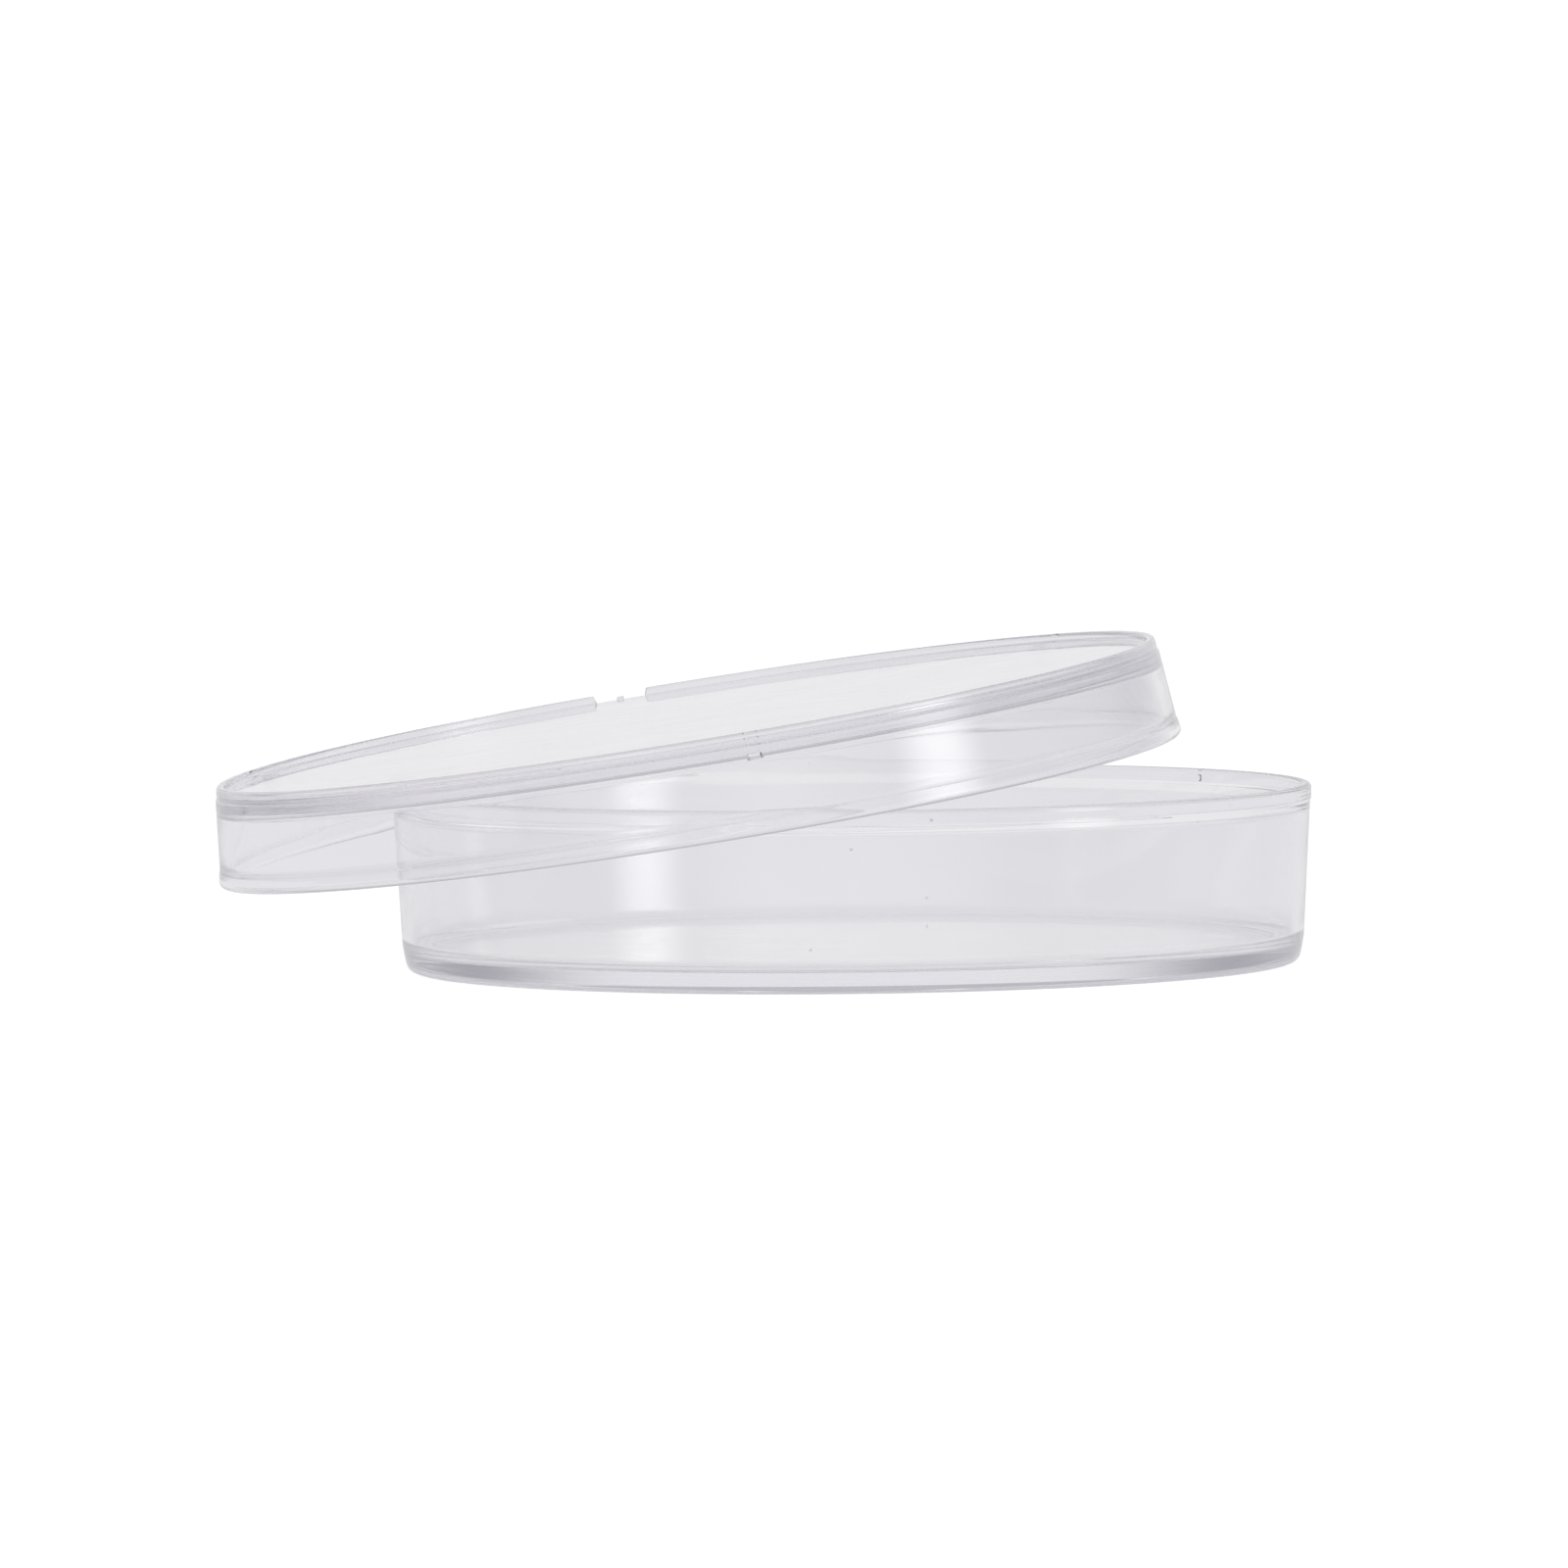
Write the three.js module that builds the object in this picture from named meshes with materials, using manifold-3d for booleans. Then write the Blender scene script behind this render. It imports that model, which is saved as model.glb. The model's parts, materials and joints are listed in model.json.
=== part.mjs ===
// Clear polystyrene petri dish with its vented, stackable lid left ajar on top.
// Units are millimetres, +Z is up. The dish stands on z = 0 with its axis on the Z axis.
// The lid lies off centre to -X with its +X side raised, close above the rim of the dish.
import * as THREE from 'three';
import { mergeVertices } from 'three/addons/utils/BufferGeometryUtils.js';
import Module from 'manifold-3d';

// ---- driving dimensions ----
const FACETS = 96; // flats round each turned surface

const RIM_RADIUS = 45.0; // outside of the dish at its rim
const DISH_HEIGHT = 17.5; // foot to rim
const WALL = 1.0; // wall of the dish
const WALL_LEAN = 0.85; // how much narrower the wall is just above the foot
const EDGE_ROUND = 0.45; // rounding of the rim and of the lid's lower edge
const RIM_BAND = 1.55; // height of the slightly thicker band under the rim
const BAND_STEP = 0.12; // how far the bands stand proud of their walls
const FLOOR = 1.2; // floor of the dish
const FOOT_RECESS = 0.95; // the floor's underside is this far above the foot
const FOOT_WIDTH = 1.15; // flat ring that the dish stands on
const FOOT_TURN_IN = 1.1; // how far the foot is inside the wall above it
const CORNER_HEIGHT = 2.6; // where the wall starts to turn in to the foot
const FLOOR_FILLET = 1.2; // inside corner between floor and wall
const RECESS_LEAN = 0.4; // slope of the recess's side, as a part of its depth
// Points on the corner between foot and wall, as parts of the turn-in and of the corner's height.
const FOOT_CORNER = [[0.4, 0.1], [0.68, 0.32]];
const RIM_GATE_ANGLE = 38.5; // stub of the dish's own moulding gate, outside the rim
const RIM_GATE_SIZE = 0.5;
const RIM_GATE_OUT = 0.1;

const LID_CLEARANCE = 1.78; // lid's shoulder beyond the rim of the dish, on the radius
const PLATE = 1.5; // top plate of the lid
const PLATE_RAISE = 0.5; // top of the plate above the shoulder outside the ridge
const SKIRT_HEIGHT = 8.55; // shoulder to the lower edge of the skirt
const SKIRT_FLARE = 0.85; // how much wider the skirt is at its lower edge
const SKIRT_WALL = 1.0;
const SKIRT_WEDGE = 0.14; // how much thicker the skirt is at its lower edge
const LIP_BAND = 1.5; // height of the thicker band round the lower edge
const LID_FILLET = 0.8; // inside corner between plate and skirt
const EASE = 0.25; // small bevels on the shoulder and the ridge
const RIDGE_HEIGHT = 1.27; // stacking ridge, above the shoulder
const RIDGE_WIDTH = 0.95;
const RIDGE_INSET = 0.28; // outside of the ridge, in from the shoulder
const RIDGE_GAP = 5.3; // break in the ridge
const RIDGE_GAP_ANGLE = 99; // degrees from +X about the lid's axis
const GATE_RADIUS = 0.35; // stub left by the moulding gate, in the break
const GATE_HEIGHT = 0.3;
const GATE_FACETS = 12;

const NUB_COUNT = 3; // vent nubs that hold the closed lid off the rim
const NUB_FIRST_ANGLE = 38.6;
const NUB_WIDTH = 1.3;
const NUB_DROP = 0.4; // below the plate
const NUB_REACH = 1.1; // in past the outside of the rim

const LID_OFFSET = 14.9; // plan distance from the dish's axis to the middle of the lid's edge
const LID_HEADING = 188.3; // degrees from +X, the way the lid is pushed
const LID_TILT = 8.5; // degrees
const REST_GAP = 0.15; // kept between the lid and the dish

// ---- derived sizes ----
const wallLow = RIM_RADIUS - WALL_LEAN;
const footOuter = wallLow - FOOT_TURN_IN;
const footInner = footOuter - FOOT_WIDTH;
const floorTop = FOOT_RECESS + FLOOR;
const plateRadius = RIM_RADIUS + LID_CLEARANCE;
const lipRadius = plateRadius + SKIRT_FLARE;
const plateTop = SKIRT_HEIGHT + PLATE_RAISE; // above the lid's lower edge, as are all its heights
const plateUnder = plateTop - PLATE;
const lidTop = SKIRT_HEIGHT + RIDGE_HEIGHT;
const nubInner = RIM_RADIUS - NUB_REACH;
const radians = THREE.MathUtils.degToRad;

// ---- solids ----
const wasm = await Module();
wasm.setup();

function indexed(geometry) {
  const bare = geometry.clone();
  bare.deleteAttribute('normal');
  bare.deleteAttribute('uv');
  const merged = mergeVertices(bare, 1e-5);
  const index = merged.getIndex().array;
  const kept = [];
  for (let i = 0; i < index.length; i += 3) {
    const [a, b, c] = [index[i], index[i + 1], index[i + 2]];
    if (a !== b && b !== c && a !== c) kept.push(a, b, c);
  }
  merged.setIndex(kept);
  return merged;
}

function toSolid(geometry) {
  const g = indexed(geometry);
  return new wasm.Manifold(new wasm.Mesh({
    numProp: 3,
    vertProperties: new Float32Array(g.getAttribute('position').array),
    triVerts: new Uint32Array(g.getIndex().array),
  }));
}

function toGeometry(solid) {
  const mesh = solid.getMesh();
  const g = new THREE.BufferGeometry();
  g.setAttribute('position', new THREE.BufferAttribute(new Float32Array(mesh.vertProperties), 3));
  g.setIndex(new THREE.BufferAttribute(new Uint32Array(mesh.triVerts), 1));
  const flat = g.toNonIndexed();
  flat.computeVertexNormals();
  return flat;
}

// A closed profile of [radius, height] pairs from axis to axis, turned about Z.
function turned(profile) {
  const points = profile.map(([r, z]) => new THREE.Vector2(r, z));
  return new THREE.LatheGeometry(points, FACETS).rotateX(Math.PI / 2);
}

// Rounded end of a wall between two radii. up = 1 rounds a top edge, -1 a bottom edge.
function roundedEnd(outer, inner, z, up) {
  const r = EDGE_ROUND;
  const bevel = r * (1 - Math.SQRT1_2);
  return [
    [outer, z - up * r],
    [outer - bevel, z - up * bevel],
    [outer - r, z],
    [inner + r, z],
    [inner + bevel, z - up * bevel],
    [inner, z - up * r],
  ];
}

function dishProfile() {
  const wallInnerLow = wallLow - WALL;
  const bandFoot = DISH_HEIGHT - RIM_BAND;
  const fillet = FLOOR_FILLET * (1 - Math.SQRT1_2);
  return [
    [0, FOOT_RECESS],
    [footInner - FOOT_RECESS * RECESS_LEAN, FOOT_RECESS],
    [footInner, 0],
    [footOuter, 0],
    ...FOOT_CORNER.map(([out, up]) => [footOuter + FOOT_TURN_IN * out, CORNER_HEIGHT * up]),
    [wallLow, CORNER_HEIGHT],
    [RIM_RADIUS - BAND_STEP, bandFoot - BAND_STEP],
    [RIM_RADIUS, bandFoot],
    ...roundedEnd(RIM_RADIUS, RIM_RADIUS - WALL, DISH_HEIGHT, 1),
    [wallInnerLow, floorTop + FLOOR_FILLET],
    [wallInnerLow - fillet, floorTop + fillet],
    [wallInnerLow - FLOOR_FILLET, floorTop],
    [0, floorTop],
  ];
}

function lidProfile() {
  const ridgeOuter = plateRadius - RIDGE_INSET;
  const ridgeInner = ridgeOuter - RIDGE_WIDTH;
  const lean = SKIRT_FLARE / SKIRT_HEIGHT;
  const outerAt = (z) => plateRadius + (SKIRT_HEIGHT - z) * lean - BAND_STEP;
  const innerAt = (z) => outerAt(z) - SKIRT_WALL - SKIRT_WEDGE * (1 - z / SKIRT_HEIGHT);
  const fillet = LID_FILLET * (1 - Math.SQRT1_2);
  return [
    [0, plateUnder],
    [innerAt(plateUnder) - LID_FILLET, plateUnder],
    [innerAt(plateUnder) - fillet, plateUnder - fillet],
    [innerAt(plateUnder - LID_FILLET), plateUnder - LID_FILLET],
    ...roundedEnd(lipRadius, innerAt(0), 0, -1).reverse(),
    [lipRadius - lean * LIP_BAND, LIP_BAND],
    [outerAt(LIP_BAND + BAND_STEP), LIP_BAND + BAND_STEP],
    [outerAt(SKIRT_HEIGHT - EASE), SKIRT_HEIGHT - EASE],
    [ridgeOuter, SKIRT_HEIGHT],
    [ridgeOuter, lidTop - EASE],
    [ridgeOuter - EASE, lidTop],
    [ridgeInner + EASE, lidTop],
    [ridgeInner, lidTop - EASE],
    [ridgeInner, plateTop],
    [0, plateTop],
  ];
}

// A box standing along a radius of the lid: [inner, outer] radius, [low, high] height.
function radialBox(angle, inner, outer, width, low, high) {
  const box = new THREE.BoxGeometry(outer - inner, width, high - low);
  box.translate((inner + outer) / 2, 0, (low + high) / 2);
  return box.rotateZ(radians(angle));
}

function buildLid() {
  const ridgeInner = plateRadius - RIDGE_INSET - RIDGE_WIDTH;
  const past = 1; // cutters run this far past what they cut
  const gap = radialBox(
    RIDGE_GAP_ANGLE, ridgeInner - past, plateRadius + past, RIDGE_GAP, plateTop, lidTop + past,
  );
  let lid = toSolid(turned(lidProfile())).subtract(toSolid(gap));
  const nubOuter = plateRadius - SKIRT_WALL / 2;
  for (let i = 0; i < NUB_COUNT; i += 1) {
    const angle = NUB_FIRST_ANGLE + (360 * i) / NUB_COUNT;
    const nub = radialBox(
      angle, nubInner, nubOuter, NUB_WIDTH, plateUnder - NUB_DROP, plateUnder + PLATE / 2,
    );
    lid = lid.add(toSolid(nub));
  }
  const gateDepth = GATE_HEIGHT + PLATE / 2;
  const gate = new THREE.CylinderGeometry(GATE_RADIUS, GATE_RADIUS, gateDepth, GATE_FACETS);
  gate.rotateX(Math.PI / 2);
  gate.translate(ridgeInner + RIDGE_WIDTH / 2, 0, plateTop + GATE_HEIGHT / 2 - PLATE / 4);
  gate.rotateZ(radians(RIDGE_GAP_ANGLE));
  return toGeometry(lid.add(toSolid(gate)));
}

// ---- where the lid rests ----
const heading = radians(LID_HEADING);
const tiltAxis = new THREE.Vector3(-Math.sin(heading), Math.cos(heading), 0);
const turn = new THREE.Quaternion().setFromAxisAngle(tiltAxis, radians(LID_TILT));
const lidAxis = new THREE.Vector3(0, 0, 1).applyQuaternion(turn);
const offset = new THREE.Vector3(Math.cos(heading), Math.sin(heading), 0).multiplyScalar(LID_OFFSET);

// Smallest distance left between the lid and the rim, beyond the gap they should keep, when the
// middle of the lid's edge is at this height. Both edges are taken as round bars on circles.
function spareRoom(height) {
  const rimBar = WALL / 2;
  const lipBar = (SKIRT_WALL + SKIRT_WEDGE + BAND_STEP) / 2;
  const place = new THREE.Vector3(offset.x, offset.y, height);
  const unturn = turn.clone().invert();
  const samples = 1440;
  let least = Infinity;
  for (let i = 0; i < samples; i += 1) {
    const a = (2 * Math.PI * i) / samples;
    const around = new THREE.Vector3(Math.cos(a), Math.sin(a), 0);
    const lip = around.clone().multiplyScalar(lipRadius - lipBar).setZ(lipBar);
    lip.applyQuaternion(turn).add(place);
    const beside = Math.hypot(lip.x, lip.y) - (RIM_RADIUS - rimBar);
    const above = lip.z - (DISH_HEIGHT - rimBar);
    least = Math.min(least, Math.hypot(beside, above) - rimBar - lipBar - REST_GAP);
    const rim = around.clone().multiplyScalar(RIM_RADIUS - rimBar).setZ(DISH_HEIGHT - rimBar);
    rim.sub(place).applyQuaternion(unturn);
    const fromLidAxis = Math.hypot(rim.x, rim.y);
    const ceiling = fromLidAxis > nubInner - rimBar - REST_GAP ? plateUnder - NUB_DROP : plateUnder;
    if (fromLidAxis < plateRadius) least = Math.min(least, ceiling - rim.z - rimBar - REST_GAP);
  }
  return least;
}

function restHeight() {
  const step = 0.01;
  let height = DISH_HEIGHT + SKIRT_HEIGHT;
  while (spareRoom(height - step) > 0) height -= step;
  return height;
}

function buildDish() {
  const low = DISH_HEIGHT - RIM_BAND + RIM_GATE_SIZE / 2;
  const stub = radialBox(
    RIM_GATE_ANGLE, RIM_RADIUS - WALL / 2, RIM_RADIUS + RIM_GATE_OUT, RIM_GATE_SIZE,
    low, low + RIM_GATE_SIZE,
  );
  return toGeometry(toSolid(turned(dishProfile())).add(toSolid(stub)));
}

// ---- object ----
function clearPlastic(color) {
  return new THREE.MeshStandardMaterial({
    color, roughness: 0.08, metalness: 0, transparent: true, opacity: 0.35,
  });
}

const dishBase = new THREE.Mesh(buildDish(), clearPlastic(0xe4e3ea));
dishBase.name = 'dish_base';

const lid = new THREE.Mesh(buildLid(), clearPlastic(0xe7e6ec));
lid.name = 'lid';
lid.quaternion.copy(turn);
lid.position.set(offset.x, offset.y, restHeight());

const petriDish = new THREE.Group();
petriDish.name = 'petri_dish';
petriDish.add(dishBase, lid);

export default petriDish;
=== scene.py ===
"""Clear polystyrene petri dish with its vented lid lying ajar across the rim, on a white table."""

import json
import math

import bmesh
import bpy
from mathutils import Matrix, Vector


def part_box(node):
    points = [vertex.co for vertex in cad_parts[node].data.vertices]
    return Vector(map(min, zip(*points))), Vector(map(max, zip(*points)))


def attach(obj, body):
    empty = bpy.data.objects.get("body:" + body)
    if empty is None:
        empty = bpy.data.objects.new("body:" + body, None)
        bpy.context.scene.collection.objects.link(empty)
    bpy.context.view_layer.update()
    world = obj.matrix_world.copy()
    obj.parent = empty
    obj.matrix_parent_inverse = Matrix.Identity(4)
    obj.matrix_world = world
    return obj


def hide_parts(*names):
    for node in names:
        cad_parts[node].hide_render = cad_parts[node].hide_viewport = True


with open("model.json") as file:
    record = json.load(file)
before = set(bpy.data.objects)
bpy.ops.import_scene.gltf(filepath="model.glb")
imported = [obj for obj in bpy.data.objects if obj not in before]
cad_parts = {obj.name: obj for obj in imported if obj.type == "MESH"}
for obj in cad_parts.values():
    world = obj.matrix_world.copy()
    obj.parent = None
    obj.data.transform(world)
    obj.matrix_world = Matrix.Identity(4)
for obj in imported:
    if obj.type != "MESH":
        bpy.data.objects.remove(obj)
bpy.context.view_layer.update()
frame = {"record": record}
MM = 0.001

# ---- sizes of the mouldings, in millimetres, as in the CAD ----
RIM_RADIUS = 0.5 * (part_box("dish_base")[1].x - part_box("dish_base")[0].x) / MM
DISH_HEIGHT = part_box("dish_base")[1].z / MM
WALL = 1.0
WALL_LEAN = 0.85
EDGE_ROUND = 0.45
RIM_BAND = 1.55
BAND_STEP = 0.12
FLOOR = 1.2
FOOT_RECESS = 0.95
FOOT_WIDTH = 1.15
FOOT_TURN_IN = 1.1
CORNER_HEIGHT = 2.6
FLOOR_FILLET = 1.2
RECESS_LEAN = 0.4
FOOT_CORNER = [(0.4, 0.1), (0.68, 0.32)]  # shares of the turn-in and of the corner's height
RIM_GATE_ANGLE = 38.5
RIM_GATE_SIZE = 0.5
RIM_GATE_OUT = 0.1

LID_CLEARANCE = 1.78
PLATE = 1.5
PLATE_RAISE = 0.5
SKIRT_HEIGHT = 8.55
SKIRT_FLARE = 0.85
SKIRT_WALL = 1.0
SKIRT_WEDGE = 0.14
LIP_BAND = 1.5
LID_FILLET = 0.8
EASE = 0.25
RIDGE_HEIGHT = 1.27
RIDGE_WIDTH = 0.95
RIDGE_INSET = 0.28
RIDGE_GAP = 5.3
RIDGE_GAP_ANGLE = 99.0
GATE_RADIUS = 0.35
GATE_HEIGHT = 0.3
NUB_COUNT = 3
NUB_FIRST_ANGLE = 38.6
NUB_WIDTH = 1.3
NUB_DROP = 0.4
NUB_REACH = 1.1

# ---- derived ----
WALL_LOW = RIM_RADIUS - WALL_LEAN
FOOT_OUTER = WALL_LOW - FOOT_TURN_IN
FOOT_INNER = FOOT_OUTER - FOOT_WIDTH
FLOOR_TOP = FOOT_RECESS + FLOOR
BAND_FOOT = DISH_HEIGHT - RIM_BAND
PLATE_RADIUS = RIM_RADIUS + LID_CLEARANCE
LIP_RADIUS = PLATE_RADIUS + SKIRT_FLARE
LEAN = SKIRT_FLARE / SKIRT_HEIGHT
PLATE_TOP = SKIRT_HEIGHT + PLATE_RAISE
PLATE_UNDER = PLATE_TOP - PLATE
RIDGE_OUTER = PLATE_RADIUS - RIDGE_INSET
RIDGE_INNER = RIDGE_OUTER - RIDGE_WIDTH
RIDGE_MIDDLE = 0.5 * (RIDGE_OUTER + RIDGE_INNER)
NUB_INNER = RIM_RADIUS - NUB_REACH

# ---- fine shape that only this model has, also in millimetres ----
LIP_TRIM = 0.035  # keeps the round lip inside the CAD's box, which is measured on its flats
SKIRT_TRIM = 0.005  # the same for the skirt
LIP_ROUND = 0.58  # rounding of the skirt's lower edge
DOME = 0.62  # how square the ridge's cross-section is: 1 is an ellipse, 0 a box
FACE_RING = 20.0  # radius of a ring of corners within each wide flat face
UNDER_RING = 10.0  # the same under the lid's plate
# Rounded side of the recess under the floor, as [out, up] from its top and from its foot.
RECESS_TOP = [(-0.25, 0.0), (0.02, -0.09)]
RECESS_FOOT = [(-0.08, 0.09), (0.14, 0.0)]
FOOT_EASE = 0.05  # start of the foot's outer corner, in from the foot ring's edge
STEP_EASE = 0.06  # rounding of the step to the rim band and of the rim gate's stub
BAND_BLEND = 0.1  # the rim band reaches its full radius this far up
RIM_GATE_RISE = 0.3  # foot of the rim gate's stub, above the foot of the rim band
RIM_GATE_INSET = 0.2  # corners within the stub
# Rounded face of a nub, as [out, up] from where it meets the plate and from its lower edge.
NUB_TOP = [(-0.02, -0.02), (0.0, -0.08)]
NUB_FOOT = [(0.02, 0.1), (0.06, 0.03), (0.16, 0.0)]
NUB_MARGINS = (0.5, 0.1)  # corners of the plate's underside inside each nub
BELOW_FILLET = (0.9, 1.0, 1.15, 1.3, 1.5, 1.8)  # corners down the inside of the skirt
LIP_INNER_EASE = (0.01, 0.05)  # the skirt's inside stops this far [in, up] from the edge's rounding
LIP_STEP_LOW = 0.08  # the step above the lip band starts this far below its top
LIP_STEP_MIDDLE = 0.02
LIP_STEP_HIGH = 0.16
SHOULDER = (-0.035, -0.07)  # rounding of the shoulder, [out, up] from the skirt and its top
RIDGE_TOP = (0.12, 0.04, -0.04, -0.12)  # corners across the top of the ridge
RIDGE_STEP = 0.01  # the shoulder stops this far out from the ridge
RIDGE_FOOT = 0.12  # a ring of corners on the plate, this far inside the ridge

# Widths over which features that start or stop round the mouldings blend in.
RIM_GATE_SOFT = 0.25
NUB_SOFT = 0.16
GAP_SOFT = 0.3
STUB_SOFT = 0.1
STUB_CORNERS = (GATE_RADIUS, GATE_RADIUS * 0.6, 0.05)  # extra columns across the gate's stub

COLUMNS = 384  # round each moulding
COLUMNS_BY_EDGE = 4  # extra columns on each side of a soft edge
LEAST_STEP = 0.012  # degrees between columns


# ---- curves ----
def arc(cr, cz, radius, start, stop, steps):
    """Points [r, z] on an arc round (cr, cz), angles in degrees."""
    out = []
    for i in range(steps + 1):
        a = math.radians(start + (stop - start) * i / steps)
        out.append((cr + radius * math.cos(a), cz + radius * math.sin(a)))
    return out


def line(a, b, steps):
    """Points after a, up to and with b."""
    return [(a[0] + (b[0] - a[0]) * i / steps, a[1] + (b[1] - a[1]) * i / steps)
            for i in range(1, steps + 1)]


def curve(points, steps):
    """Catmull-Rom curve through the points, without the first one."""
    out = []
    padded = [points[0]] + points + [points[-1]]
    for k in range(1, len(padded) - 2):
        p0, p1, p2, p3 = padded[k - 1:k + 3]
        for i in range(1, steps + 1):
            t = i / steps
            out.append(tuple(
                0.5 * (2 * p1[j] + (p2[j] - p0[j]) * t
                       + (2 * p0[j] - 5 * p1[j] + 4 * p2[j] - p3[j]) * t * t
                       + (3 * p1[j] - p0[j] - 3 * p2[j] + p3[j]) * t ** 3)
                for j in (0, 1)))
    return out


def beside(r, z, offsets):
    """Points at [out, up] from (r, z)."""
    return [(r + out, z + up) for out, up in offsets]


def smooth(t):
    t = min(max(t, 0.0), 1.0)
    return t * t * (3 - 2 * t)


def arc_distance(angle, middle, radius):
    """Distance along a circle between two angles in degrees."""
    d = (angle - middle + 180) % 360 - 180
    return abs(math.radians(d)) * radius


def inside(distance, half, soft):
    """1 well within half, 0 outside it, with a soft edge."""
    return smooth((half - distance) / soft + 0.5)


# ---- the dish's profile, from the axis under it to the axis in it ----
def dish_underside():
    recess = FOOT_INNER - FOOT_RECESS * RECESS_LEAN
    top = beside(recess, FOOT_RECESS, RECESS_TOP)
    foot = beside(FOOT_INNER, 0.0, RECESS_FOOT)
    corner = [(FOOT_OUTER + FOOT_TURN_IN * out, CORNER_HEIGHT * up) for out, up in FOOT_CORNER]
    pts = [(0.0, FOOT_RECESS)]
    pts += line(pts[-1], (FACE_RING, FOOT_RECESS), 2)
    pts += line(pts[-1], top[0], 4)
    pts += curve(top + foot, 4)
    pts += line(pts[-1], (FOOT_OUTER - FOOT_EASE, 0.0), 3)
    pts += curve([pts[-1], *corner, (WALL_LOW, CORNER_HEIGHT)], 7)
    return [(r, max(z, 0.0)) for r, z in pts]


def rim_band(angle):
    """Outside of the rim band above its step, with the stub of the gate."""
    gate = inside(arc_distance(angle, RIM_GATE_ANGLE, RIM_RADIUS), RIM_GATE_SIZE / 2, RIM_GATE_SOFT)
    low = BAND_FOOT + RIM_GATE_RISE
    high = low + RIM_GATE_SIZE
    pts = [(RIM_RADIUS, low - STEP_EASE)]
    for z in (low, low + RIM_GATE_INSET, high - RIM_GATE_INSET, high):
        pts.append((RIM_RADIUS + RIM_GATE_OUT * gate, z))
    pts.append((RIM_RADIUS, high + STEP_EASE))
    return pts


def dish_profile(angle):
    pts = dish_underside()
    pts += line(pts[-1], (RIM_RADIUS - BAND_STEP, BAND_FOOT - BAND_STEP - STEP_EASE), 12)
    pts += curve([pts[-1], (RIM_RADIUS - BAND_STEP / 2, BAND_FOOT - STEP_EASE),
                  (RIM_RADIUS, BAND_FOOT + BAND_BLEND)], 4)
    pts += rim_band(angle)
    pts += arc(RIM_RADIUS - EDGE_ROUND, DISH_HEIGHT - EDGE_ROUND, EDGE_ROUND, 0, 90, 9)
    pts += arc(RIM_RADIUS - WALL + EDGE_ROUND, DISH_HEIGHT - EDGE_ROUND, EDGE_ROUND, 90, 180, 9)
    inner_low = WALL_LOW - WALL
    pts += line(pts[-1], (inner_low, FLOOR_TOP + FLOOR_FILLET), 12)
    pts += arc(inner_low - FLOOR_FILLET, FLOOR_TOP + FLOOR_FILLET, FLOOR_FILLET, 0, -90, 12)[1:]
    pts += line(pts[-1], (FACE_RING, FLOOR_TOP), 4)
    pts += line(pts[-1], (0.0, FLOOR_TOP), 2)
    return pts


# ---- the lid's profile, from the axis under its plate to the axis on it ----
def skirt_outer(z):
    """Radius of the skirt's outside above the lip band, z above its lower edge."""
    return PLATE_RADIUS + (SKIRT_HEIGHT - z) * LEAN - BAND_STEP - SKIRT_TRIM


def skirt_inner(z):
    return skirt_outer(z) - SKIRT_WALL - SKIRT_WEDGE * (1 - z / SKIRT_HEIGHT)


def nub_share(angle):
    """1 across each nub, 0 between them."""
    share = 0.0
    for i in range(NUB_COUNT):
        away = arc_distance(angle, NUB_FIRST_ANGLE + 360 * i / NUB_COUNT, RIM_RADIUS)
        share = max(share, inside(away, NUB_WIDTH / 2, NUB_SOFT))
    return share


def lid_underside(angle):
    """Underside of the plate with its nubs, and the upper part of the skirt's inside."""
    pts = [(0.0, PLATE_UNDER), (UNDER_RING, PLATE_UNDER)]
    pts += line(pts[-1], (NUB_INNER - NUB_MARGINS[0], PLATE_UNDER), 5)
    pts.append((NUB_INNER - NUB_MARGINS[1], PLATE_UNDER))
    corner = skirt_inner(PLATE_UNDER - LID_FILLET)
    plain = line(pts[-1], (corner - LID_FILLET, PLATE_UNDER), 5)
    plain += arc(corner - LID_FILLET, PLATE_UNDER - LID_FILLET, LID_FILLET, 90, 0, 8)[1:]
    plain += [(skirt_inner(PLATE_UNDER - d), PLATE_UNDER - d) for d in BELOW_FILLET]
    drop = PLATE_UNDER - NUB_DROP
    block = beside(NUB_INNER, PLATE_UNDER, NUB_TOP) + beside(NUB_INNER, drop, NUB_FOOT)
    block += [(r, min(z, drop)) for r, z in plain[len(block):]]
    nub = nub_share(angle)
    pts += [tuple(p[j] + (b[j] - p[j]) * nub for j in (0, 1)) for p, b in zip(plain, block)]
    return pts


def lip_and_skirt(start):
    """From a point inside the skirt, round its lower edge and up its outside to the shoulder."""
    lip_inner = skirt_inner(0)
    pts = line(start, (lip_inner - LIP_INNER_EASE[0], LIP_ROUND + LIP_INNER_EASE[1]), 8)
    pts += arc(lip_inner + LIP_ROUND, LIP_ROUND, LIP_ROUND, 180, 270, 9)
    pts += arc(LIP_RADIUS - LIP_ROUND - LIP_TRIM, LIP_ROUND, LIP_ROUND, 270, 360, 9)
    pts += line(pts[-1], (LIP_RADIUS - LEAN * LIP_BAND - LIP_TRIM, LIP_BAND - LIP_STEP_LOW), 3)
    above = LIP_BAND + LIP_STEP_HIGH
    pts += curve([pts[-1], (skirt_outer(LIP_BAND) + BAND_STEP * 0.5, LIP_BAND + LIP_STEP_MIDDLE),
                  (skirt_outer(above), above)], 4)
    pts += line(pts[-1], (skirt_outer(SKIRT_HEIGHT - EASE), SKIRT_HEIGHT - EASE), 8)
    return pts


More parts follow.
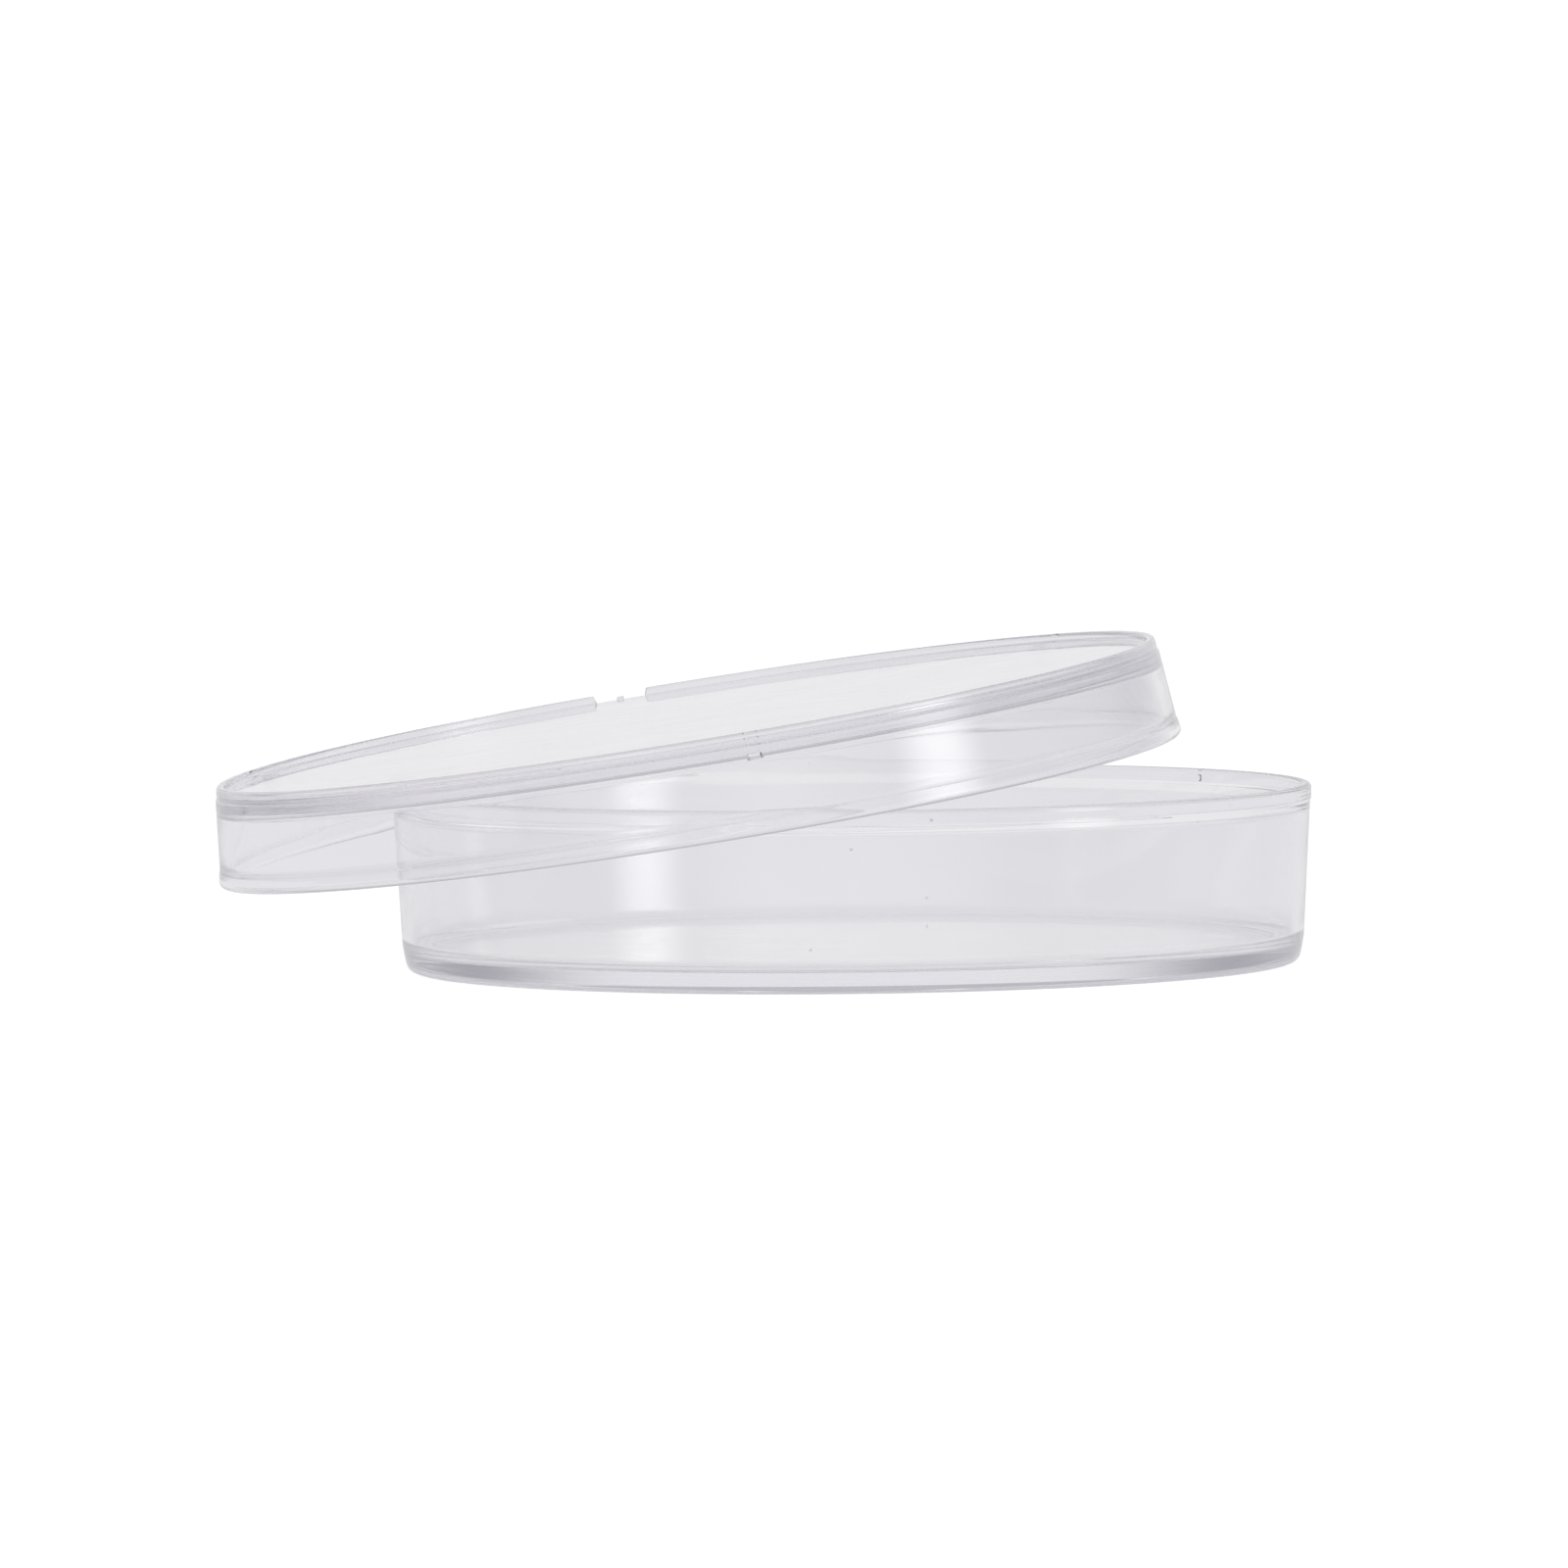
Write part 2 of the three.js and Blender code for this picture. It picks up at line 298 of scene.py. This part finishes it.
def ridge(angle):
    """Stacking ridge, which is let down to the plate in its gap, where the gate's stub stands."""
    gap = inside(arc_distance(angle, RIDGE_GAP_ANGLE, RIDGE_OUTER), RIDGE_GAP / 2, GAP_SOFT)
    height = RIDGE_HEIGHT - (RIDGE_HEIGHT - PLATE_RAISE) * gap
    away = arc_distance(angle, RIDGE_GAP_ANGLE, RIDGE_MIDDLE)
    half = RIDGE_WIDTH / 2
    across = [(half * (1 - math.cos(math.radians(a)) ** DOME),
               math.sin(math.radians(a)) ** DOME) for a in range(0, 90, 9)]
    shape = [(RIDGE_OUTER - d, height * h) for d, h in across]
    shape += [(RIDGE_MIDDLE + d, height) for d in RIDGE_TOP]
    shape += [(RIDGE_INNER + d, PLATE_RAISE + (height - PLATE_RAISE) * h)
              for d, h in reversed(across)]
    pts = []
    for r, up in shape:
        stub = inside(math.hypot(r - RIDGE_MIDDLE, away), GATE_RADIUS, STUB_SOFT)
        pts.append((r, SKIRT_HEIGHT + up + GATE_HEIGHT * stub * gap))
    return pts


def lid_profile(angle):
    pts = lid_underside(angle)
    pts += lip_and_skirt(pts[-1])
    shoulder = (skirt_outer(SKIRT_HEIGHT - EASE) + SHOULDER[0], SKIRT_HEIGHT + SHOULDER[1])
    pts += curve([pts[-1], shoulder, (RIDGE_OUTER + RIDGE_STEP, SKIRT_HEIGHT)], 3)
    pts += ridge(angle)
    pts += line(pts[-1], (RIDGE_INNER - RIDGE_FOOT, PLATE_TOP), 2)
    pts += line(pts[-1], (FACE_RING, PLATE_TOP), 5)
    pts += line(pts[-1], (0.0, PLATE_TOP), 2)
    return pts


# ---- meshes ----
def column_angles(marks):
    """Evenly spaced angles, with more of them near each mark: (angle, half width, soft, radius)."""
    angles = {round(360.0 * i / COLUMNS, 5) for i in range(COLUMNS)}
    for middle, half, soft, radius in marks:
        for side in (-1, 1):
            for k in range(-COLUMNS_BY_EDGE, COLUMNS_BY_EDGE + 1):
                d = half + soft * 0.5 * k / COLUMNS_BY_EDGE
                angles.add(round((middle + side * math.degrees(d / radius)) % 360, 5))
    out = []
    for a in sorted(angles):
        if not out or a - out[-1] > LEAST_STEP:
            out.append(a)
    return out


def turned(name, profile, angles, place):
    """A closed mesh turned about Z from a profile that may change with the angle."""
    mesh = bpy.data.meshes.new(name)
    columns = [profile(a) for a in angles]
    first = columns[0]
    verts = [(0.0, 0.0, first[0][1] * MM), (0.0, 0.0, first[-1][1] * MM)]
    for a, points in zip(angles, columns):
        c, s = math.cos(math.radians(a)), math.sin(math.radians(a))
        verts += [(r * c * MM, r * s * MM, z * MM) for r, z in points[1:-1]]
    ring = len(first) - 2

    def at(col, row):
        return 2 + (col % len(angles)) * ring + row

    faces = []
    for col in range(len(angles)):
        faces.append((0, at(col + 1, 0), at(col, 0)))
        for row in range(ring - 1):
            faces.append((at(col, row), at(col + 1, row), at(col + 1, row + 1), at(col, row + 1)))
        faces.append((1, at(col, ring - 1), at(col + 1, ring - 1)))
    mesh.from_pydata(verts, [], faces)
    mesh.transform(place)
    mesh.update()
    work = bmesh.new()
    work.from_mesh(mesh)
    bmesh.ops.recalc_face_normals(work, faces=work.faces)
    if work.calc_volume(signed=True) < 0:
        bmesh.ops.reverse_faces(work, faces=work.faces)
    work.to_mesh(mesh)
    work.free()
    for p in mesh.polygons:
        p.use_smooth = True
    obj = bpy.data.objects.new(name, mesh)
    bpy.context.scene.collection.objects.link(obj)
    return obj


def lid_place():
    """From the lid's own frame to where it lies, from the record's mount on its plate."""
    mount = next(m for m in frame["record"]["mounts"] if m["name"] == "lid_top")
    axis = Vector(mount["axis"]).normalized()
    turn = Vector((0, 0, 1)).rotation_difference(axis).to_matrix().to_4x4()
    top = Vector(mount["pos_m"])
    return Matrix.Translation(top) @ turn @ Matrix.Translation((0, 0, -PLATE_TOP * MM))


def make_dish():
    marks = [(RIM_GATE_ANGLE, RIM_GATE_SIZE / 2, RIM_GATE_SOFT, RIM_RADIUS)]
    return turned("dish_moulding", dish_profile, column_angles(marks), Matrix.Identity(4))


def make_lid():
    marks = [(RIDGE_GAP_ANGLE, RIDGE_GAP / 2, GAP_SOFT, PLATE_RADIUS)]
    marks += [(RIDGE_GAP_ANGLE, half, STUB_SOFT, PLATE_RADIUS) for half in STUB_CORNERS]
    marks += [(NUB_FIRST_ANGLE + 360 * i / NUB_COUNT, NUB_WIDTH / 2, NUB_SOFT, RIM_RADIUS)
              for i in range(NUB_COUNT)]
    return turned("lid_moulding", lid_profile, column_angles(marks), lid_place())


# ---- materials ----
TINT = (0.985, 0.983, 0.988)
SPECK_COLOR = (0.55, 0.54, 0.56)
ABSORB = (0.5, 0.48, 0.58)
ABSORB_DENSITY = 2.5  # per metre
POLYSTYRENE_IOR = 1.59
DISH_SEED, LID_SEED = 3.0, 11.0  # shift the patterns, so that the mouldings differ
# A pattern's scale is per metre, and its limits are the values between which it changes the plastic.
CLOUD_SCALE = 55.0
CLOUD_LIMITS = (0.3, 0.75)
CLOUD_TONES = (0.985, 1.01)
HAZE_SCALE = 120.0
HAZE_LIMITS = (0.35, 0.8)
HAZE_ROUGHNESS = (0.015, 0.06)
WAVE_SCALE = 130.0
SPECK_SCALE = 260.0
SPECK_RADII = (0.035, 0.055)  # in cells of the scatter, from solid to gone
SPECK_RARITY = 0.93  # share of the cells left clean
WAVE_DEPTH = 0.000008  # metres


def node(tree, kind, **values):
    made = tree.nodes.new(kind)
    for key, value in values.items():
        setattr(made, key, value)
    return made


def noise(tree, vector, scale, detail):
    made = node(tree, "ShaderNodeTexNoise")
    made.inputs["Scale"].default_value = scale
    made.inputs["Detail"].default_value = detail
    tree.links.new(vector, made.inputs["Vector"])
    return made.outputs["Fac"]


def remap(tree, value, source, target, interpolation="LINEAR"):
    made = node(tree, "ShaderNodeMapRange", interpolation_type=interpolation)
    made.inputs["From Min"].default_value = source[0]
    made.inputs["From Max"].default_value = source[1]
    made.inputs["To Min"].default_value = target[0]
    made.inputs["To Max"].default_value = target[1]
    tree.links.new(value, made.inputs["Value"])
    return made.outputs["Result"]


def mix_colors(tree, share, first, second):
    """A mix of two colours, each a socket or three numbers. Share 0 is the first."""
    made = node(tree, "ShaderNodeMix", data_type="RGBA")
    factor, a, b = made.inputs[0], made.inputs[6], made.inputs[7]
    tree.links.new(share, factor)
    for socket, color in ((a, first), (b, second)):
        if isinstance(color, bpy.types.NodeSocket):
            tree.links.new(color, socket)
        else:
            socket.default_value = (*color, 1)
    return made.outputs[2]


def cloudy_tint(tree, vector, tint):
    """The tint with a faint cloudiness."""
    tone = node(tree, "ShaderNodeValToRGB")
    low, high = tone.color_ramp.elements
    low.position, high.position = CLOUD_LIMITS
    low.color = (*[c * CLOUD_TONES[0] for c in tint], 1)
    high.color = (*[min(c * CLOUD_TONES[1], 1) for c in tint], 1)
    tree.links.new(noise(tree, vector, CLOUD_SCALE, 3.0), tone.inputs["Fac"])
    return tone.outputs["Color"]


def dust_specks(tree, vector, color):
    """The colour with a few specks of dust: small spots in some cells of a scattered pattern."""
    cells = node(tree, "ShaderNodeTexVoronoi")
    cells.inputs["Scale"].default_value = SPECK_SCALE
    tree.links.new(vector, cells.inputs["Vector"])
    spot = remap(tree, cells.outputs["Distance"], SPECK_RADII, (1.0, 0.0))
    pick = node(tree, "ShaderNodeSeparateColor")
    tree.links.new(cells.outputs["Color"], pick.inputs["Color"])
    some = node(tree, "ShaderNodeMath", operation="GREATER_THAN")
    some.inputs[1].default_value = SPECK_RARITY
    tree.links.new(pick.outputs["Red"], some.inputs[0])
    speck = node(tree, "ShaderNodeMath", operation="MULTIPLY")
    tree.links.new(spot, speck.inputs[0])
    tree.links.new(some.outputs["Value"], speck.inputs[1])
    return mix_colors(tree, speck.outputs["Value"], color, SPECK_COLOR)


def clear_plastic(name, seed):
    material = bpy.data.materials.new(name)
    material.use_nodes = True
    tree = material.node_tree
    tree.nodes.clear()
    link = tree.links.new
    out = node(tree, "ShaderNodeOutputMaterial")
    coords = node(tree, "ShaderNodeTexCoord")
    shift = node(tree, "ShaderNodeMapping")
    shift.inputs["Location"].default_value = (seed, seed * 0.37, seed * 0.11)
    link(coords.outputs["Object"], shift.inputs["Vector"])
    vector = shift.outputs["Vector"]

    bsdf = node(tree, "ShaderNodeBsdfPrincipled")
    bsdf.inputs["Transmission Weight"].default_value = 1.0
    bsdf.inputs["IOR"].default_value = POLYSTYRENE_IOR
    link(dust_specks(tree, vector, cloudy_tint(tree, vector, TINT)), bsdf.inputs["Base Color"])

    # handling haze: smooth plastic with slightly duller patches
    haze = noise(tree, vector, HAZE_SCALE, 5.0)
    link(remap(tree, haze, HAZE_LIMITS, HAZE_ROUGHNESS), bsdf.inputs["Roughness"])

    # slow moulding waviness
    bump = node(tree, "ShaderNodeBump")
    bump.inputs["Strength"].default_value = 1.0
    bump.inputs["Distance"].default_value = WAVE_DEPTH
    link(noise(tree, vector, WAVE_SCALE, 1.5), bump.inputs["Height"])
    link(bump.outputs["Normal"], bsdf.inputs["Normal"])

    volume = node(tree, "ShaderNodeVolumeAbsorption")
    volume.inputs["Color"].default_value = (*ABSORB, 1)
    volume.inputs["Density"].default_value = ABSORB_DENSITY
    link(bsdf.outputs["BSDF"], out.inputs["Surface"])
    link(volume.outputs["Volume"], out.inputs["Volume"])
    return material


# ---- the two mouldings ----
dish = make_dish()
lid = make_lid()
dish.data.materials.append(clear_plastic("dish_plastic", DISH_SEED))
lid.data.materials.append(clear_plastic("lid_plastic", LID_SEED))

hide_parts("dish_base")
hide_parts("lid")
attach(dish, "dish")
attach(lid, "lid")

# ---- stage ----
# The table and the room behind it are overexposed to white where the camera sees them directly,
# as in a cut-out catalogue picture. The plastic sees them as they are, a little greyer.
WHITE = 1.06
TABLE_GREY = (0.81, 0.807, 0.825)
HORIZON_GREY = (0.86, 0.857, 0.873)
SIDE_GREY = (0.35, 0.343, 0.38)
CEILING_GREY = (0.48, 0.475, 0.51)
SIDES_FROM, SIDES_TO = 0.34, 0.8  # how far round to the side the room darkens, as a direction's |X|
CLIMB = (0.25, 0.75)  # how far up it turns to the ceiling's grey, as a direction's Z
TABLE_RADIUS = 6.0
TABLE_DROP = 0.00002  # keeps the foot off the table's face
TABLE_MATT = 0.25  # the part of the table that takes shadows
MATT_LIGHT = 0.15  # taken off the table's own light for what its matt part adds
MATT_LIGHT_SEEN = 0.12  # the same where the camera sees it
BOX_AT = (0.511, -0.316, 0.2)  # metres; its streaks then lie in both mouldings as in the photograph
BOX_AIM = (0, 0, 0.02)
BOX_WIDTH = 0.31
BOX_HEIGHT = 0.45
BOX_RADIANCE = 2.15
BOX_FADE = (0.03, 0.5)  # from its middle to its edge, in its own widths


def seen_or_grey(tree, grey, seen):
    """One colour for camera rays and another for all others."""
    path = node(tree, "ShaderNodeLightPath")
    return mix_colors(tree, path.outputs["Is Camera Ray"], grey, seen)


def make_floor():
    work = bmesh.new()
    bmesh.ops.create_circle(work, cap_ends=True, segments=96, radius=TABLE_RADIUS)
    mesh = bpy.data.meshes.new("floor")
    work.to_mesh(mesh)
    work.free()
    obj = bpy.data.objects.new("floor", mesh)
    obj.location.z = -TABLE_DROP
    bpy.context.scene.collection.objects.link(obj)
    material = bpy.data.materials.new("white_table")
    material.use_nodes = True
    tree = material.node_tree
    tree.nodes.clear()
    out = node(tree, "ShaderNodeOutputMaterial")
    matt = node(tree, "ShaderNodeBsdfDiffuse")
    matt.inputs["Color"].default_value = (TABLE_MATT, TABLE_MATT, TABLE_MATT, 1)
    glow = node(tree, "ShaderNodeEmission")
    grey = tuple(c - MATT_LIGHT for c in TABLE_GREY)
    white = (WHITE - MATT_LIGHT_SEEN,) * 3
    tree.links.new(seen_or_grey(tree, grey, white), glow.inputs["Color"])
    both = node(tree, "ShaderNodeAddShader")
    tree.links.new(matt.outputs[0], both.inputs[0])
    tree.links.new(glow.outputs[0], both.inputs[1])
    tree.links.new(both.outputs[0], out.inputs["Surface"])
    mesh.materials.append(material)


def make_world():
    world = bpy.data.worlds.new("studio")
    bpy.context.scene.world = world
    world.use_nodes = True
    tree = world.node_tree
    tree.nodes.clear()
    link = tree.links.new
    coords = node(tree, "ShaderNodeTexCoord")
    split = node(tree, "ShaderNodeSeparateXYZ")
    link(coords.outputs["Generated"], split.inputs["Vector"])
    side = node(tree, "ShaderNodeMath", operation="ABSOLUTE")
    link(split.outputs["X"], side.inputs[0])
    around = node(tree, "ShaderNodeValToRGB")
    around.color_ramp.interpolation = "EASE"
    ahead, aside = around.color_ramp.elements
    ahead.position = SIDES_FROM
    ahead.color = (*HORIZON_GREY, 1)
    aside.position = SIDES_TO
    aside.color = (*SIDE_GREY, 1)
    link(side.outputs[0], around.inputs["Fac"])
    climb = remap(tree, split.outputs["Z"], CLIMB, (0.0, 1.0), "SMOOTHSTEP")
    room = mix_colors(tree, climb, around.outputs["Color"], CEILING_GREY)
    sky = node(tree, "ShaderNodeBackground")
    link(seen_or_grey(tree, room, (WHITE, WHITE, WHITE)), sky.inputs["Color"])
    out = node(tree, "ShaderNodeOutputWorld")
    link(sky.outputs["Background"], out.inputs["Surface"])


def softbox(name, at, aim, width, height, radiance):
    """A soft light that fades out to its two upright edges."""
    data = bpy.data.lights.new(name, "AREA")
    data.shape = "RECTANGLE"
    data.size = width
    data.size_y = height
    data.energy = radiance * math.pi * width * height
    data.use_nodes = True
    tree = data.node_tree
    face = node(tree, "ShaderNodeNewGeometry")
    split = node(tree, "ShaderNodeSeparateXYZ")
    tree.links.new(face.outputs["Parametric"], split.inputs["Vector"])
    middle = node(tree, "ShaderNodeMath", operation="SUBTRACT")
    tree.links.new(split.outputs["X"], middle.inputs[0])
    middle.inputs[1].default_value = 0.5
    away = node(tree, "ShaderNodeMath", operation="ABSOLUTE")
    tree.links.new(middle.outputs[0], away.inputs[0])
    fade = remap(tree, away.outputs[0], BOX_FADE, (1.0, 0.0), "SMOOTHSTEP")
    glow = next(n for n in tree.nodes if n.type == "EMISSION")
    tree.links.new(fade, glow.inputs["Strength"])
    obj = bpy.data.objects.new(name, data)
    obj.location = at
    direction = Vector(aim) - Vector(at)
    obj.rotation_euler = direction.to_track_quat("-Z", "Y").to_euler()
    bpy.context.scene.collection.objects.link(obj)
    obj.visible_camera = False


make_floor()
make_world()
softbox("side_box", BOX_AT, BOX_AIM, BOX_WIDTH, BOX_HEIGHT, BOX_RADIANCE)

# ---- camera, from the photograph's viewing angle ----
CAMERA_DISTANCE = 1.26
CAMERA_TARGET = (0, 0, 0.009)
CAMERA_RISE = 3.3  # degrees above the table, seen from the target
CAMERA_PITCH = 0.40  # degrees that it then turns away from the target
CAMERA_YAW = -0.30
CAMERA_ROLL = 0.67
FOCAL_WIDTHS = 8.203125  # focal length, in widths of the picture
SENSOR = 36
CLIP_START, CLIP_END = 0.01, 50


def make_camera():
    rise, pitch, yaw, roll = (
        math.radians(a) for a in (CAMERA_RISE, CAMERA_PITCH, CAMERA_YAW, CAMERA_ROLL))
    level = Matrix(((1, 0, 0), (0, math.sin(rise), math.cos(rise)),
                    (0, math.cos(rise), -math.sin(rise))))
    cy, sy = math.cos(yaw), math.sin(yaw)
    cp, sp = math.cos(pitch), math.sin(pitch)
    cr, sr = math.cos(roll), math.sin(roll)
    turn = Matrix(((cr, -sr, 0), (sr, cr, 0), (0, 0, 1)))
    turn = turn @ Matrix(((1, 0, 0), (0, cp, -sp), (0, sp, cp)))
    turn = turn @ Matrix(((cy, 0, -sy), (0, 1, 0), (sy, 0, cy)))
    right, up, ahead = (turn @ level).row
    data = bpy.data.cameras.new("camera")
    data.lens = FOCAL_WIDTHS * SENSOR
    data.sensor_width = SENSOR
    data.clip_start = CLIP_START
    data.clip_end = CLIP_END
    obj = bpy.data.objects.new("camera", data)
    place = Matrix((right, up, -ahead)).transposed().to_4x4()
    back = Vector((0, -math.cos(rise), math.sin(rise)))
    place.translation = Vector(CAMERA_TARGET) + CAMERA_DISTANCE * back
    obj.matrix_world = place
    bpy.context.scene.collection.objects.link(obj)
    bpy.context.scene.camera = obj


make_camera()

# Light runs far inside the edges of clear plastic, so paths may be long.
LONG_PATH = 128
scene = bpy.context.scene
scene.view_settings.view_transform = "Standard"
scene.cycles.max_bounces = LONG_PATH
scene.cycles.transmission_bounces = LONG_PATH
scene.cycles.glossy_bounces = LONG_PATH
scene.cycles.diffuse_bounces = 3
scene.cycles.transparent_max_bounces = 16
